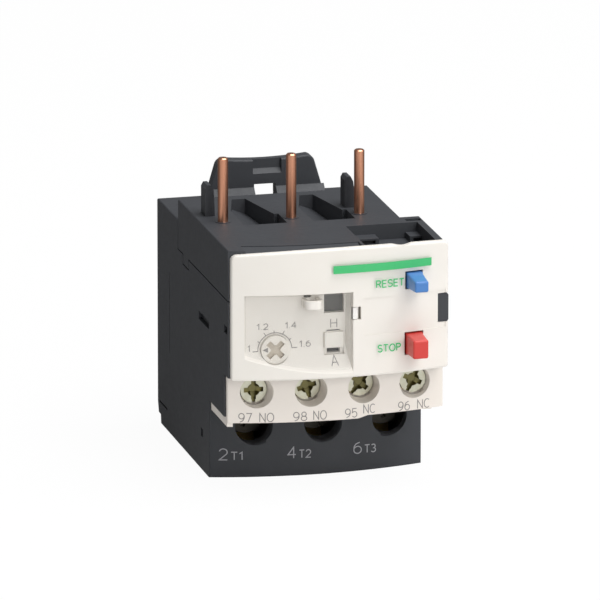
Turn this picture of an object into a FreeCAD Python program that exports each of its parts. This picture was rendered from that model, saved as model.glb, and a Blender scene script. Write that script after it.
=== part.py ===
"""Thermal overload relay for motor circuits.

A dark two-part case with three copper pins on top, a pale front cover with setting dial, mode
slider and two push buttons, and a pale terminal block under it. Inside are the three heated
bimetals, the slides and levers that they push, and the contacts that these levers move.

Lengths are millimetres. X runs to the right seen from the front, Y to the rear and Z up. X = 0 is
the middle of the front cover, Z = 0 the underside, and Y = 0 half-way through the whole depth.
"""
import FreeCAD, Part
import math
import os

os.makedirs("parts", exist_ok=True)
Vector = FreeCAD.Vector

# Case outline
cover_front_depth = 65.1
cover_width = 45.0
cover_overhang = 1.0
body_height = 51.2
bow_radius = 82.0
lower_front_step = 17.35
terminal_front_step = 3.65
seam_height = 40.7
terminal_bottom = 15.0
terminal_top = 25.0
terminal_rib_width = 1.1
terminal_rib_drop = 0.7
terminal_step_left = 3.9
terminal_step_right = 6.1
terminal_step_rise = 0.65
case_wall = 1.7
floor_wall = 1.8
cheek_wall = 1.2
cover_wall = 1.2
cover_corner = 1.2
cover_lower_corner = 0.6
cover_crown_radius = 316.0
cover_crown_middle = 3.0
cover_left_inset = 0.4
cover_lap = 0.3
cover_rise = 0.25
arch_rise = 1.35
arch_half_width = 5.0
arch_depth = 0.7
dip_x = 12.7
dip_half_width = 3.6
dip_depth = 0.45
dip_lift = 0.2
edge_round = 0.35
cover_edge_round = 0.5
fit = 0.3
running_fit = 0.05
curve_steps = 6

# Top of the case
ledge_depth = 18.0
ledge_height = 46.9
ledge_wall = 1.9
narrow_top_width = 39.8
recess_rear_margin = 4.7
recess_step = 17.6
recess_reach = 9.85
recess_flange = 1.7
recess_drop = 3.2
recess_wall = 1.6
bevel_depth = 5.2
bevel_drop = 1.07
bevel_step = 0.15
bevel_margin = 3.4
seam_groove_height = 0.25
seam_groove_depth = 0.4
scoop_offset = 3.5
scoop_width = 8.8
scoop_rear_margin = 21.0
scoop_front_margin = 41.7
scoop_depth = 4.9
scoop_lip = 1.8
scoop_lip_width = 1.6
fin_height = 6.45
fin_half_width = 0.95
fin_rear_margin = 29.6
fin_depth = 3.5
catch_height = 1.25
catch_depth = 3.6
catch_wall = 0.7

# Poles and their pins
partition_wall = 1.7
partition_height = 36.3
pin_radius = 1.05
pin_shank_radius = 1.6
pin_shank_rise = 0.12
pin_top = 64.45
strap_clearance = 2.1
pin_offset = -3.3
pin_setback = 9.95
pin_tip_chamfer = 0.22
strap_thickness = 1.2

# Power terminals
power_offset = 0.9
power_height = 10.7
power_access_radius = 3.78
power_screw_radius = 1.95
power_head_radius = 3.3
power_head_height = 2.0
power_head_recess = 8.25
power_washer_width = 7.2
power_washer_thickness = 1.2
power_wire_gap = 5.3
terminal_bar_thickness = 1.5
terminal_bar_width = 7.6
terminal_bar_height = 15.5
wire_entry_width = 7.0

# Control terminals
control_margin = 5.6
control_offset = 0.4
control_height = 21.45
well_radius = 3.3
well_neck_radius = 2.85
control_head_radius = 2.7
control_head_height = 1.7
control_head_recess = 3.85
control_screw_radius = 1.5
control_screw_length = 6.2
control_washer_radius = 2.75
control_washer_thickness = 0.8
strip_thickness = 1.0
strip_plate_width = 5.4
strip_tail_width = 3.0
contact_step = 1.25
control_cross_length = 4.0
control_slot_length = 5.6
power_cross_length = 4.2
power_slot_length = 6.4
recess_arm_width = 1.0
recess_arm_depth = 1.1
recess_slot_width = 0.7
recess_slot_depth = 0.8
recess_centre_radius = 1.75
recess_centre_foot = 0.75
recess_centre_depth = 1.2

# Contacts and the carrier that moves them
closed_pad_rise = 4.3
open_pad_rise = 6.3
pad_thickness = 0.8
pad_spacing = 2.7
bridge_thickness = 0.8
bridge_end_gap = 0.27
bridge_width = 3.0
contact_travel = 1.45
carrier_post_width = 2.0
carrier_bar_rise = 3.0
carrier_bar_height = 3.0
carrier_bar_thickness = 2.3
carrier_lug_width = 1.6

# Heated bimetals and slides
bimetal_depth = 11.0
bimetal_width = 4.0
bimetal_thickness = 0.9
bimetal_top_rise = 0.6
sleeve_width = 5.0
sleeve_thickness = 1.9
sleeve_bottom = 8.0
sleeve_top = 31.0
winding_wire = 0.45
winding_turns = 9
slide_thickness = 2.2
slide_width = 2.0
slide_finger = 1.3
slide_gap = 0.35
slide_finger_gap = 0.6

# Release lever
lever_offset = 1.9
lever_clearance = 0.9
lever_thickness = 1.2
lever_section = 2.0
differential_thickness = 1.6
lever_leg_step = 3.5
lever_pivot_step = 2.8
lever_pin_radius = 0.8
lever_hub_radius = 2.2
lever_foot_rise = 2.2
lever_gap = 0.12
lever_lug_step = 2.0

# Trip lever and flag
trip_offset = 0.85
trip_rise = 6.3
trip_arm = 3.2
trip_plate = 1.5
trip_step = 0.7
trip_hub_radius = 1.9
trip_pin_radius = 0.8
peg_radius = 0.6
peg_offset = 0.6
flag_width = 3.6
flag_height = 3.6
flag_arm = 5.4
flag_thickness = 0.8
flag_reach = 1.25
blank_overlap = 0.7
blank_margin_below = 1.5

# Push buttons
button_margin = 7.55
reset_drop = 7.45
reset_width = 3.2
reset_section_height = 3.1
reset_tip_width = 2.8
reset_tip_height = 2.25
reset_proud = 4.9
stop_rise = 5.7
stop_width = 3.45
stop_section_height = 4.1
stop_tip_width = 3.15
stop_tip_height = 3.8
stop_proud = 4.3
button_gap = 0.3
button_round = 0.4
button_flange = 0.9
button_flange_thickness = 1.0
button_flange_step = 3.4
button_stem_radius = 1.2
button_travel = 2.5
button_spring_length = 4.3
button_spring_radius = 1.75
button_spring_wire = 0.22
button_spring_turns = 4
button_guide_wall = 1.1
button_guide_margin = 2.6
guide_foot_half = 1.5

# Setting pocket in the cover
pocket_margin = 2.9
pocket_right = 2.15
flag_window_margin = 0.3
pocket_floor_step = 3.1
pocket_ramp_rise = 6.6
pocket_ramp_foot = 1.0
pocket_ramp_overrun = 0.4
pocket_shell_rise = 1.7
pocket_side_slope = 0.9
pocket_shell = 1.1
side_tab_bottom = 34.3
side_tab_top = 40.1
side_tab_step = 0.15
side_tab_round = 0.5
side_tab_gap = 0.1
flap_thickness = 0.45
flap_gap = 0.2
flap_foot_gap = 0.8
hinge_offset = 0.65
hinge_step = 0.9
hinge_radius = 0.55
hinge_drop = 1.7
hinge_length = 2.4
hinge_groove_gap = 0.12
hinge_groove_right = 0.95
hinge_pin_radius = 0.4
hinge_pin_length = 0.6
hinge_edge_gap = 1.15
window_margin_left = 5.25
window_margin_right = 1.15
window_margin_below = 0.85
seal_loop_offset = 8.1
seal_loop_drop = 2.1
seal_loop_width = 3.5
seal_loop_section = 1.6
seal_loop_round = 1.3
seal_loop_reach = 3.7
seal_loop_band = 0.8

# Shallow field for the label between the buttons
label_left = 4.35
label_margin = 0.6
label_bottom = 33.2
label_top = 40.9
label_depth = 0.15

# Setting dial
dial_offset = 6.34
dial_rise = 5.83
dial_radius = 2.9
dial_proud = 0.85
dial_thickness = 1.6
dial_shaft_radius = 1.6
dial_gap = 0.07
cam_radius = 2.6
cam_eccentricity = 0.8
cam_thickness = 2.0
cam_step = 5.6
dial_bearing_wall = 1.2
dial_bearing_rim = 1.6
dial_cross_width = 1.15
dial_cross_length = 4.2
dial_cross_depth = 0.6
dial_cross_centre = 1.0

# Mode slider
slider_offset = 3.35
slider_cap_width = 3.9
slider_cap_height = 3.25
slider_cap_drop = 0.35
slider_cap_rise = 0.8
slider_cap_round = 0.25
slider_travel = 1.2
slider_stem_width = 2.6
slider_stem_height = 2.6
slider_rise = 9.05
slider_keeper_thickness = 0.6
slider_slot_spare = 0.8

# Mounting hook
hook_left = -12.5
hook_right = 11.9
hook_top = 54.73
hook_thickness = 2.5
hook_taper = 2.3
hook_corner = 1.8
hook_sag = 0.5
hook_foot_rise = 1.7
hook_window_left = -2.75
hook_window_right = 1.8
hook_window_bottom = 45.9
hook_window_top = 49.2
hook_catch_left = -3.0
hook_catch_right = 3.0
hook_catch_height = 52.3
hook_catch_depth = 0.9

# Places worked out from the sizes above, first across the width
body_width = cover_width - cover_overhang
body_left = -cover_width / 2
body_right = body_left + body_width
cover_left = body_left + cover_left_inset
body_middle = body_left + body_width / 2
pole_chamber_width = (body_width - 2 * case_wall - 2 * partition_wall) / 3
pole_pitch = pole_chamber_width + partition_wall
pole_xs = [body_middle + pole_pitch * i for i in (-1, 0, 1)]
pin_xs = [x + pin_offset for x in pole_xs]
power_xs = [x + power_offset for x in pole_xs]
control_pitch = (body_width - 2 * control_margin) / 3
control_centres = [body_middle + control_offset + control_pitch * i for i in (-1.5, -0.5, 0.5, 1.5)]
bridge_length = control_pitch - strip_tail_width - 2 * bridge_end_gap
strip_left = body_left + narrow_top_width
room_left = pole_xs[0] - pole_chamber_width / 2
room_right = pole_xs[-1] + pole_chamber_width / 2
button_x = cover_width / 2 - button_margin
recess_left = button_x - recess_reach
pocket_left = body_left + pocket_margin
dial_x = pocket_left + dial_offset
slider_x = pocket_right - slider_offset
seal_loop_x = pocket_right - seal_loop_offset
window_left = pocket_right - window_margin_left
window_right = pocket_right - window_margin_right
hinge_x = pocket_right + hinge_offset
trip_x = pocket_right + trip_offset
lever_x = trip_x + lever_offset

# Heights
chamber_floor = terminal_top + case_wall
mechanism_ceiling = ledge_height - ledge_wall
cover_top = body_height + cover_rise
recess_floor = body_height - recess_drop
button_ceiling = recess_floor - recess_wall
pin_shank_top = body_height + pin_shank_rise
pin_bottom = partition_height - strap_clearance - strap_thickness
slide_height = partition_height + fit
bimetal_top = slide_height + slide_thickness + bimetal_top_rise
lever_height = slide_height + slide_thickness + differential_thickness + lever_clearance
closed_pad_height = chamber_floor + closed_pad_rise
open_pad_height = chamber_floor + open_pad_rise
trip_height = chamber_floor + trip_rise
carrier_bar_bottom = trip_height + carrier_bar_rise
lever_foot_height = trip_height + lever_foot_rise
flag_bottom = trip_height + flag_arm
window_bottom = flag_bottom - window_margin_below
pocket_top = flag_bottom + flag_height + flag_window_margin
pocket_ramp_top = terminal_top + pocket_ramp_rise
pocket_ramp_bottom = terminal_top - pocket_ramp_foot
hinge_bottom = flag_bottom - hinge_drop
seal_loop_height = pocket_top - seal_loop_drop
dial_height = terminal_top + dial_rise
stop_height = terminal_top + stop_rise
reset_height = body_height - reset_drop
slider_slot_top = terminal_top + slider_rise
slider_cap_bottom = slider_slot_top - slider_cap_height - slider_cap_drop

# Depths, from the front cover back to the bimetals
overall_depth = cover_front_depth + reset_proud
rear_y = overall_depth / 2
inner_rear_y = rear_y - case_wall
cover_front_y = rear_y - cover_front_depth
cover_rear_y = cover_front_y + cover_wall
terminal_front_y = cover_front_y + terminal_front_step
lower_front_y = cover_front_y + lower_front_step
pocket_floor_y = cover_front_y + pocket_floor_step
shell_rear_y = pocket_floor_y + pocket_shell
hinge_y = cover_front_y + hinge_step
dial_face_y = pocket_floor_y - dial_proud
cam_y = pocket_floor_y + cam_step
flange_y = cover_front_y + button_flange_step
spring_y = flange_y + button_flange_thickness
guide_y = spring_y + button_spring_length
trip_y = shell_rear_y + trip_step
tail_y = lower_front_y - contact_step
recess_y = cover_front_y + recess_step
wide_top_y = recess_y + recess_rear_margin
pin_y = lower_front_y + pin_setback
pivot_y = pin_y + lever_pivot_step
bimetal_y = rear_y - bimetal_depth
ledge_y = rear_y - ledge_depth
power_head_y = lower_front_y + power_head_recess
lever_front_arm = pivot_y - trip_y - lever_leg_step
lever_rear_arm = bimetal_y - lever_lug_step - pivot_y


def box(x0, x1, y0, y1, z0, z1):
    return Part.makeBox(x1 - x0, y1 - y0, z1 - z0, Vector(x0, y0, z0))


def block(x, width, y0, y1, z, height):
    """A box centred on x and z."""
    return box(x - width / 2, x + width / 2, y0, y1, z - height / 2, z + height / 2)


def rod_y(radius, x, z, y0, y1):
    return Part.makeCylinder(radius, y1 - y0, Vector(x, y0, z), Vector(0, 1, 0))


def rod_z(radius, x, y, z0, z1):
    return Part.makeCylinder(radius, z1 - z0, Vector(x, y, z0), Vector(0, 0, 1))


def prism(points, along):
    wire = Part.makePolygon(points + [points[0]])
    return Part.Face(wire).extrude(along)


def side_prism(points, x0, x1):
    """A prism across the width from (y, z) points."""
    return prism([Vector(x0, y, z) for y, z in points], Vector(x1 - x0, 0, 0))


def front_prism(points, y0, y1):
    """A prism through the depth from (x, z) points."""
    return prism([Vector(x, y0, z) for x, z in points], Vector(0, y1 - y0, 0))


def plan_prism(points, z0, z1):
    """An upright prism from (x, y) points."""
    return prism([Vector(x, y, z0) for x, y in points], Vector(0, 0, z1 - z0))


def curved_prism(curve_points, corners, along):
    """A prism whose outline is a smooth curve through points, closed through straight corners."""
    curve = Part.BSplineCurve()
    curve.interpolate(curve_points)
    lines = Part.makePolygon([curve_points[-1]] + corners + [curve_points[0]])
    return Part.Face(Part.Wire([curve.toShape()] + lines.Edges)).extrude(along)


def eased(t):
    """A smooth step from 0 to 1."""
    return (1 - math.cos(math.pi * t)) / 2


def swell(middle, half, height, base, y0, y1):
    """A prism through the depth under a smooth bump (or over a smooth dip) on a level line."""
    steps = [i / curve_steps for i in range(-curve_steps, curve_steps + 1)]
    bump = [Vector(middle + half * t, y0, base + height * eased(1 - abs(t))) for t in steps]
    far = base - math.copysign(1, height)
    return curved_prism(bump, [Vector(middle + half, y0, far), Vector(middle - half, y0, far)],
                        Vector(0, y1 - y0, 0))


def bowed_block(middle, x0, x1, front_y, back_y, z0, z1):
    """A block whose front face is bowed in plan and is furthest forward at middle."""
    drum = rod_z(bow_radius, middle, front_y + bow_radius, z0, z1)
    return box(x0, x1, front_y, back_y, z0, z1).common(drum)


def bow_y(front_y, middle, x):
    """The Y of a bowed front at x."""
    return front_y + bow_radius - math.sqrt(bow_radius ** 2 - (x - middle) ** 2)


# The case's front wall keeps its thickness at the outermost chamber corner
inner_front_y = bow_y(lower_front_y, body_middle, room_left) + case_wall


def joined(shapes):
    return shapes[0].multiFuse(shapes[1:]).removeSplitter()


def without(shape, cutters):
    return shape.cut(Part.makeCompound(cutters))


def coil_y(radius, wire, x, z, y0, y1, turns):
    """A coil spring of round wire along Y, between y0 and y1."""
    length = y1 - y0 - 2 * wire
    helix = Part.makeLongHelix(length / turns, length, radius)
    section = Part.Wire(Part.makeCircle(wire, Vector(radius, 0, 0), Vector(0, 1, 0)))
    spring = Part.Wire(helix.Edges).makePipeShell([section], True, True)
    spring.rotate(Vector(0, 0, 0), Vector(1, 0, 0), -90)
    spring.translate(Vector(x, y0 + wire, z))
    return spring


def coil_z(radius, wire, x, y, z0, z1, turns):
    length = z1 - z0 - 2 * wire
    helix = Part.makeHelix(length / turns, length, radius)
    section = Part.Wire(Part.makeCircle(wire, Vector(radius, 0, 0), Vector(0, 1, 0)))
    spring = Part.Wire(helix.Edges).makePipeShell([section], True, True)
    spring.translate(Vector(x, y, z0 + wire))
    return spring


def rounded(shape, radius, wanted):
    """Round the edges that the test picks out."""
    edges = [edge for edge in shape.Edges if wanted(edge)]
    return shape.makeFillet(radius, edges)


def lies_along(edge, direction):
    """True for a straight edge along a direction."""
    if len(edge.Vertexes) != 2:
        return False
    a, b = (v.Point for v in edge.Vertexes)
    length = b.sub(a).Length
    return abs(edge.Length - length) < 1e-6 and abs(abs(b.sub(a).dot(direction)) - length) < 1e-6


def at_height(edge, z):
    """True for an edge that lies level at height z."""
    return edge.BoundBox.ZMax < z + 1e-4 and edge.BoundBox.ZMin > z - 1e-4


def on_bow(edge, middle, front_y):
    """True for an edge that lies on a bowed front."""
    points = [edge.valueAt(edge.FirstParameter + t * (edge.LastParameter - edge.FirstParameter))
              for t in (0, 0.5, 1)]
    return all(abs(p.y - bow_y(front_y, middle, p.x)) < 1e-3 for p in points)


def upright_at(edge, places):
    """True for a straight upright edge at one of the (x, y) places."""
    if len(edge.Vertexes) != 2:
        return False
    a, b = (v.Point for v in edge.Vertexes)
    if abs(a.x - b.x) > 1e-6 or abs(a.y - b.y) > 1e-6:
        return False
    return any(abs(a.x - x) < 0.01 and abs(a.y - y) < 0.01 for x, y in places)


def save(name, shape):
    shape.exportStep("parts/" + name + ".step")
    solids = shape.Solids
    print(name, len(solids), "solid", round(sum(s.Volume for s in solids), 2), shape.isValid())


def base_outer():
    """The outside of the lower case: rear tower, lower block, cheeks and upper front."""
    lower = bowed_block(body_middle, body_left, body_right, lower_front_y, rear_y, 0, terminal_top)
    upper = bowed_block(0, body_left, body_right, cover_rear_y, rear_y, terminal_top, seam_height)
    tower = box(body_left, body_right, ledge_y, rear_y, seam_height, ledge_height)
    side_strip = box(strip_left, body_right, wide_top_y, ledge_y, seam_height, ledge_height)
    cheek_front = terminal_cheek_y()
    cheek_bottom = terminal_bottom + cheek_wall
    left_cheek = box(body_left, body_left + cheek_wall, cheek_front, 0, cheek_bottom, terminal_top)
    right_cheek = box(body_right - cheek_wall, body_right, cheek_front, 0, cheek_bottom, terminal_top)
    lower = rounded(lower, edge_round, lambda e: on_bow(e, body_middle, lower_front_y)
                    and (lies_along(e, Vector(0, 0, 1)) or at_height(e, 0)))
    tower = rounded(tower, edge_round, lambda e: at_height(e, ledge_height)
                    and e.BoundBox.YMin > ledge_y + 1 or e.BoundBox.XMax < body_left + 1e-3
                    and at_height(e, ledge_height))
    tab_y = bow_y(cover_front_y, 0, body_right)
    side_tab = box(body_right - cheek_wall, cover_width / 2, tab_y + side_tab_step, tab_y + 4,
                   side_tab_bottom, side_tab_top)
    side_tab = rounded(side_tab, side_tab_round, lambda e: lies_along(e, Vector(0, 1, 0))
                       and e.BoundBox.XMin > body_right)
    shape = joined([lower, upper, tower, side_strip, left_cheek, right_cheek, side_tab])
    foot = [(rear_y + 1, 4.1), (rear_y, 4.1), (rear_y - 0.75, 1.9), (rear_y - 2.5, 1.8),
            (rear_y - 2.8, 0), (rear_y - 2.8, -1), (rear_y + 1, -1)]
    return shape.cut(side_prism(foot, body_left - 1, body_right + 1))


def terminal_cheek_y():
    """Where the case's cheeks end behind the terminal block's full-width front."""
    return bow_y(terminal_front_y, 0, cover_width / 2) + 0.9


def base_hollows():
    """The rooms inside the lower case."""
    rooms = []
    for x in pole_xs:
        half = pole_chamber_width / 2
        rooms.append(box(x - half, x + half, inner_front_y, inner_rear_y, floor_wall, partition_height))
    rooms.append(box(room_left, room_right, inner_front_y, inner_rear_y, partition_height, seam_height))
    rooms.append(box(room_left, room_right, ledge_y - 1, inner_rear_y, seam_height - 1,
                     mechanism_ceiling))
    rooms.append(box(strip_left - 1, room_right, wide_top_y + case_wall, ledge_y, seam_height - 1,
                     mechanism_ceiling))
    chamber = bowed_block(0, body_left + case_wall, body_right - case_wall, cover_rear_y - 1,
                          inner_front_y - case_wall, chamber_floor, seam_height + 1)
    rooms.append(chamber)
    doorway_left = lever_x - lever_hub_radius - 6
    rooms.append(box(doorway_left, lever_x + lever_hub_radius + 1.5, cover_rear_y, inner_front_y + 1,
                     carrier_bar_bottom + 1, seam_height + 1))
    return rooms


def base_openings():
    """Screwdriver holes, wire entries, tail slots and the small marks on the sides."""
    cuts = []
    for x in power_xs:
        hole = rod_y(power_access_radius, x, power_height, lower_front_y - 1, inner_front_y + 0.5)
        lip = Part.makeCone(power_access_radius + 0.4, power_access_radius, 0.8,
                            Vector(x, bow_y(lower_front_y, body_middle, x) - 0.35, power_height),
                            Vector(0, 1, 0))
        wire_y0, wire_y1 = power_wire_span()
        entry = box(x - wire_entry_width / 2, x + wire_entry_width / 2, wire_y0, wire_y1, -1,
                    floor_wall + 0.5)
        cuts += [hole, lip, entry]
    tail_y0, tail_y1 = tail_span()
    for x in control_centres:
        half = strip_tail_width / 2 + 0.1
        cuts.append(box(x - half, x + half, tail_y0 - 0.1, tail_y1 + 0.1, terminal_top - 1,
                        chamber_floor + 1))
    side_marks = [(-44.6, -36.0, 30.85, 32.6, 0.8), (-60.2, -57.5, 33.8, 35.4, 0.8),
                  (-8.5, -1.5, 4.2, 4.6, 0.4), (-39.2, -37.6, 6.9, 8.6, 0.6),
                  (-10.7, -10.4, 17.0, 34.0, 0.25)]
    for y0, y1, z0, z1, depth in side_marks:
        cuts.append(box(body_left - 1, body_left + depth, rear_y + y0, rear_y + y1, z0, z1))
        cuts.append(box(body_right - depth, body_right + 1, rear_y + y0, rear_y + y1, z0, z1))
    latch_y0, latch_y1, latch_z = side_latch()
    cuts.append(box(body_left - 1, body_left + cheek_wall, latch_y0 - fit, latch_y1 + fit,
                    latch_z - fit, seam_height + 1))
    return cuts


def side_latch():
    """The catch tongue of the upper case, seen in the left side."""
    return rear_y - 27.1, rear_y - 22.6, seam_height - 1.8


def power_wire_span():
    """The Y span of the gap that holds a power wire."""
    y0 = power_head_y + power_head_height + power_washer_thickness
    return y0, y0 + power_wire_gap


def tail_span():
    """The Y span of the contact strips' upright tails."""
    y0 = tail_y
    return y0 - strip_thickness, y0


def mounting_hook():
    """The upright plate with a catch and a window at the rear of the top."""
    outline = [(hook_left, ledge_height), (hook_left + hook_taper, hook_top),
               (hook_right - hook_taper, hook_top), (hook_right, ledge_height)]
    plate = front_prism(outline, rear_y - hook_thickness, rear_y)
    plate = rounded(plate, hook_corner, lambda e: lies_along(e, Vector(0, 1, 0))
                    and e.BoundBox.ZMin > ledge_height + 1)
    sag_half = (hook_right - hook_left) / 2 - hook_taper - hook_corner / 2
    sag_radius = (sag_half ** 2 + hook_sag ** 2) / (2 * hook_sag)
    middle = (hook_left + hook_right) / 2
    plate = plate.cut(rod_y(sag_radius, middle, hook_top - hook_sag + sag_radius,
                            rear_y - hook_thickness - 1, rear_y + 1))
    plate = rounded(plate, edge_round, lambda e: e.BoundBox.ZMin > ledge_height + 1
                    and e.BoundBox.YMax < rear_y - hook_thickness + 1e-3)
    plate_y = rear_y - hook_thickness
    foot = [(plate_y, ledge_height), (plate_y, ledge_height + hook_foot_rise),
            (plate_y - hook_foot_rise, ledge_height)]
    rib = side_prism(foot, hook_left, hook_right)
    plate = joined([plate, rib])
    catch = [(plate_y - 1, hook_top + 1), (plate_y - 1, hook_catch_height - 2),
             (plate_y + hook_catch_depth, hook_catch_height), (plate_y + hook_catch_depth, hook_top + 1)]
    return plate.cut(side_prism(catch, hook_catch_left, hook_catch_right))


def hook_window():
    return box(hook_window_left, hook_window_right, rear_y - hook_thickness - hook_foot_rise - 0.5,
               rear_y + 1, hook_window_bottom, hook_window_top)


def base_bosses():
    """Walls inside the front room that guide the dial's shaft and the stop button's stem."""
    stop_guide = block(button_x, 2 * button_guide_margin, guide_y, guide_y + button_guide_wall,
                       stop_height, 2 * button_guide_margin)
    stop_foot = box(button_x - guide_foot_half, button_x + guide_foot_half, guide_y,
                    guide_y + button_guide_wall, chamber_floor - 0.5, stop_height)
    hole = rod_y(button_stem_radius + running_fit, button_x, stop_height, guide_y - 1,
                 guide_y + button_guide_wall + 1)
    bearing_y = dial_bearing_y()
    bearing_radius = dial_shaft_radius + dial_bearing_rim
    bearing = rod_y(bearing_radius, dial_x, dial_height, bearing_y, bearing_y + dial_bearing_wall)
    bearing_foot = box(dial_x - guide_foot_half, dial_x + guide_foot_half, bearing_y,
                       bearing_y + dial_bearing_wall, chamber_floor - 0.5, dial_height)
    shaft_hole = rod_y(dial_shaft_radius + running_fit, dial_x, dial_height, bearing_y - 1,
                       bearing_y + dial_bearing_wall + 1)
    return [stop_guide.fuse(stop_foot).cut(hole), bearing.fuse(bearing_foot).cut(shaft_hole)]


def dial_bearing_y():
    return cam_y + cam_thickness + running_fit


def base_housing():
    shell = without(base_outer(), base_hollows() + base_openings())
    shell = joined([shell, mounting_hook()] + base_bosses())
    pin_hole = rod_y(trip_pin_radius, trip_x, trip_height, inner_front_y - case_wall - 1,
                     inner_front_y - 0.3)
    return without(shell, [hook_window(), pin_hole])


def upper_housing():
    """The separate top moulding with the pin holes, pockets, fins and front recess."""
    outer = bowed_block(0, body_left, body_right, cover_rear_y, ledge_y, seam_height, body_height)
    outer = outer.cut(box(strip_left, body_right + 1, wide_top_y, ledge_y + 1, seam_height - 1,
                          body_height + 1))
    outer = rounded(outer, edge_round, lambda e: at_height(e, body_height)
                    and not on_bow(e, 0, cover_rear_y)
                    or upright_at(e, [(body_left, ledge_y), (strip_left, ledge_y)]))
    cuts = []
    inner_right = strip_left - case_wall
    cuts.append(box(room_left, inner_right, wide_top_y, ledge_y + 1, seam_height - 1,
                    mechanism_ceiling))
    front_right = body_right - case_wall
    cuts.append(bowed_block(0, room_left, front_right, cover_rear_y - 1, wide_top_y - case_wall,
                            seam_height - 1, mechanism_ceiling))
    cuts.append(box(room_left, inner_right, wide_top_y - case_wall - 1, wide_top_y + 1, seam_height - 1,
                    mechanism_ceiling))
    cuts.append(bowed_block(0, button_x - button_guide_margin - 0.4, front_right, cover_rear_y - 1,
                            recess_y - case_wall, mechanism_ceiling - 1, button_ceiling))
    cuts.append(box(recess_left, body_right - recess_flange, cover_rear_y - 4, recess_y, recess_floor,
                    body_height + 1))
    for x in pin_xs:
        cuts.append(rod_z(pin_shank_radius, x, pin_y, mechanism_ceiling - 1, body_height + 1))
    cuts += [front_bevel(), seam_groove(body_left), seam_groove(body_right)]
    cuts += top_pockets()
    cuts.append(box(body_right - 3.6, body_right - 0.5, wide_top_y - 3.6, wide_top_y - 1.9,
                    body_height - 1.5, body_height + 1))
    pin_height = lever_height + lever_section
    cuts.append(rod_z(lever_pin_radius, lever_x, pivot_y, pin_height,
                      mechanism_ceiling + 1.5))
    shell = without(outer, cuts)
    guide = box(button_x - button_guide_margin, button_x + button_guide_margin, guide_y,
                guide_y + button_guide_wall, seam_height, button_ceiling + 0.3)
    guide = guide.cut(rod_y(button_stem_radius + running_fit, button_x, reset_height, guide_y - 1,
                            guide_y + button_guide_wall + 1))
    latch_y0, latch_y1, latch_z = side_latch()
    latch = box(body_left, body_left + cheek_wall - 0.2, latch_y0, latch_y1, latch_z, seam_height + 0.5)
    return joined([shell, guide, latch] + fins() + recess_hooks())


def front_bevel():
    """The sloping band along the bowed front edge of the top, with a fine step behind it."""
    top = body_height - bevel_step
    core = Part.makeCone(bow_radius - cover_wall, bow_radius - bevel_depth, bevel_drop,
                         Vector(0, cover_front_y + bow_radius, top - bevel_drop), Vector(0, 0, 1))
    drum = rod_z(bow_radius - bevel_depth, 0, cover_front_y + bow_radius, top - 0.01, top + 2)
    core = core.fuse(drum)
    band = box(body_left + bevel_margin, recess_left - 0.6, cover_rear_y - 1,
               cover_front_y + bevel_depth + 4, top - bevel_drop, body_height + 1)
    return band.cut(core)


def seam_groove(side_x):
    """The narrow shadow gap along the seam between the two case parts, on one side."""
    return box(side_x - seam_groove_depth, side_x + seam_groove_depth, cover_rear_y, ledge_y,
               seam_height - 1, seam_height + seam_groove_height)


def top_pockets():
    """The two scooped pockets between the pins."""
    pockets = []
    rear, front = rear_y - scoop_rear_margin, rear_y - scoop_front_margin
    for x in pin_xs[:2]:
        left = x + scoop_offset
        right = left + scoop_width
        plan = [(left, front), (right, front), (right, rear - 13.2), (right - 0.9, rear - 13.4),
                (right - 3.6, rear), (left + 2.4, rear), (left, rear - 9)]
        upright = plan_prism(plan, body_height - scoop_depth, body_height + 1)
        ramp = [(left, body_height), (left + scoop_lip_width, body_height - scoop_lip),
                (right + 1, body_height - scoop_depth), (right + 1, body_height + 2),
                (left, body_height + 2)]
        pockets.append(upright.common(front_prism(ramp, front - 1, rear + 1)))
    return pockets


def fins():
    """The two rounded posts that key the relay to its contactor."""
    posts = []
    for x in (pin_xs[0] - 1.6, pin_xs[2] - 0.85):
        left, right = x - fin_half_width, x + fin_half_width
        tip = body_height + fin_height
        outline = [(left, body_height - 0.5), (left, tip - 0.8), (x - 0.5, tip), (x + 0.3, tip),
                   (right - 0.1, tip - 1.1), (right, tip - 2.4), (right + 0.15, body_height - 0.5)]
        posts.append(front_prism(outline, rear_y - fin_rear_margin - fin_depth, rear_y - fin_rear_margin))
    return posts


def recess_hooks():
    """Two small catches in the recess behind the cover's top edge."""
    catches = []
    for x0, x1 in ((recess_left + 1.7, recess_left + 5.9), (recess_left + 12.3, recess_left + 15.6)):
        y0 = recess_y - catch_depth
        catch = box(x0, x1, y0, recess_y, recess_floor - 0.5, recess_floor + catch_height)
        catches.append(catch.cut(box(x0 + catch_wall, x1 - catch_wall, y0 - 1, y0 + 1.2, recess_floor + 0.2,
                                     recess_floor + catch_height - 0.35)))
    return catches


def pocket_volume(gap, foot_gap):
    """The setting pocket's space, less a gap at its sides and top and another at its ramp."""
    front_y = cover_front_y - 1
    foot_y = cover_front_y - pocket_ramp_overrun
    rise = pocket_ramp_top - pocket_ramp_bottom
    steps = [i / curve_steps for i in range(curve_steps + 1)]
    ramp = [Vector(pocket_left + gap, foot_y + (pocket_floor_y - foot_y) * eased(t),
                   pocket_ramp_bottom + foot_gap + rise * t) for t in steps]
    corners = [Vector(pocket_left + gap, y, z) for y, z in
               ((pocket_floor_y, pocket_top - gap), (front_y, pocket_top - gap),
                (front_y, pocket_ramp_bottom + foot_gap))]
    tall = curved_prism(ramp, corners, Vector(pocket_right + pocket_side_slope - pocket_left, 0, 0))
    slant = pocket_side_slope / pocket_floor_step
    right_front = pocket_right - gap
    plan = [(pocket_left, pocket_floor_y + 1), (pocket_left, front_y),
            (right_front + slant * 1.0, front_y), (right_front - pocket_side_slope, pocket_floor_y),
            (right_front - pocket_side_slope, pocket_floor_y + 1)]
    return tall.common(plan_prism(plan, pocket_ramp_bottom - 1, pocket_top + 1))


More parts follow.
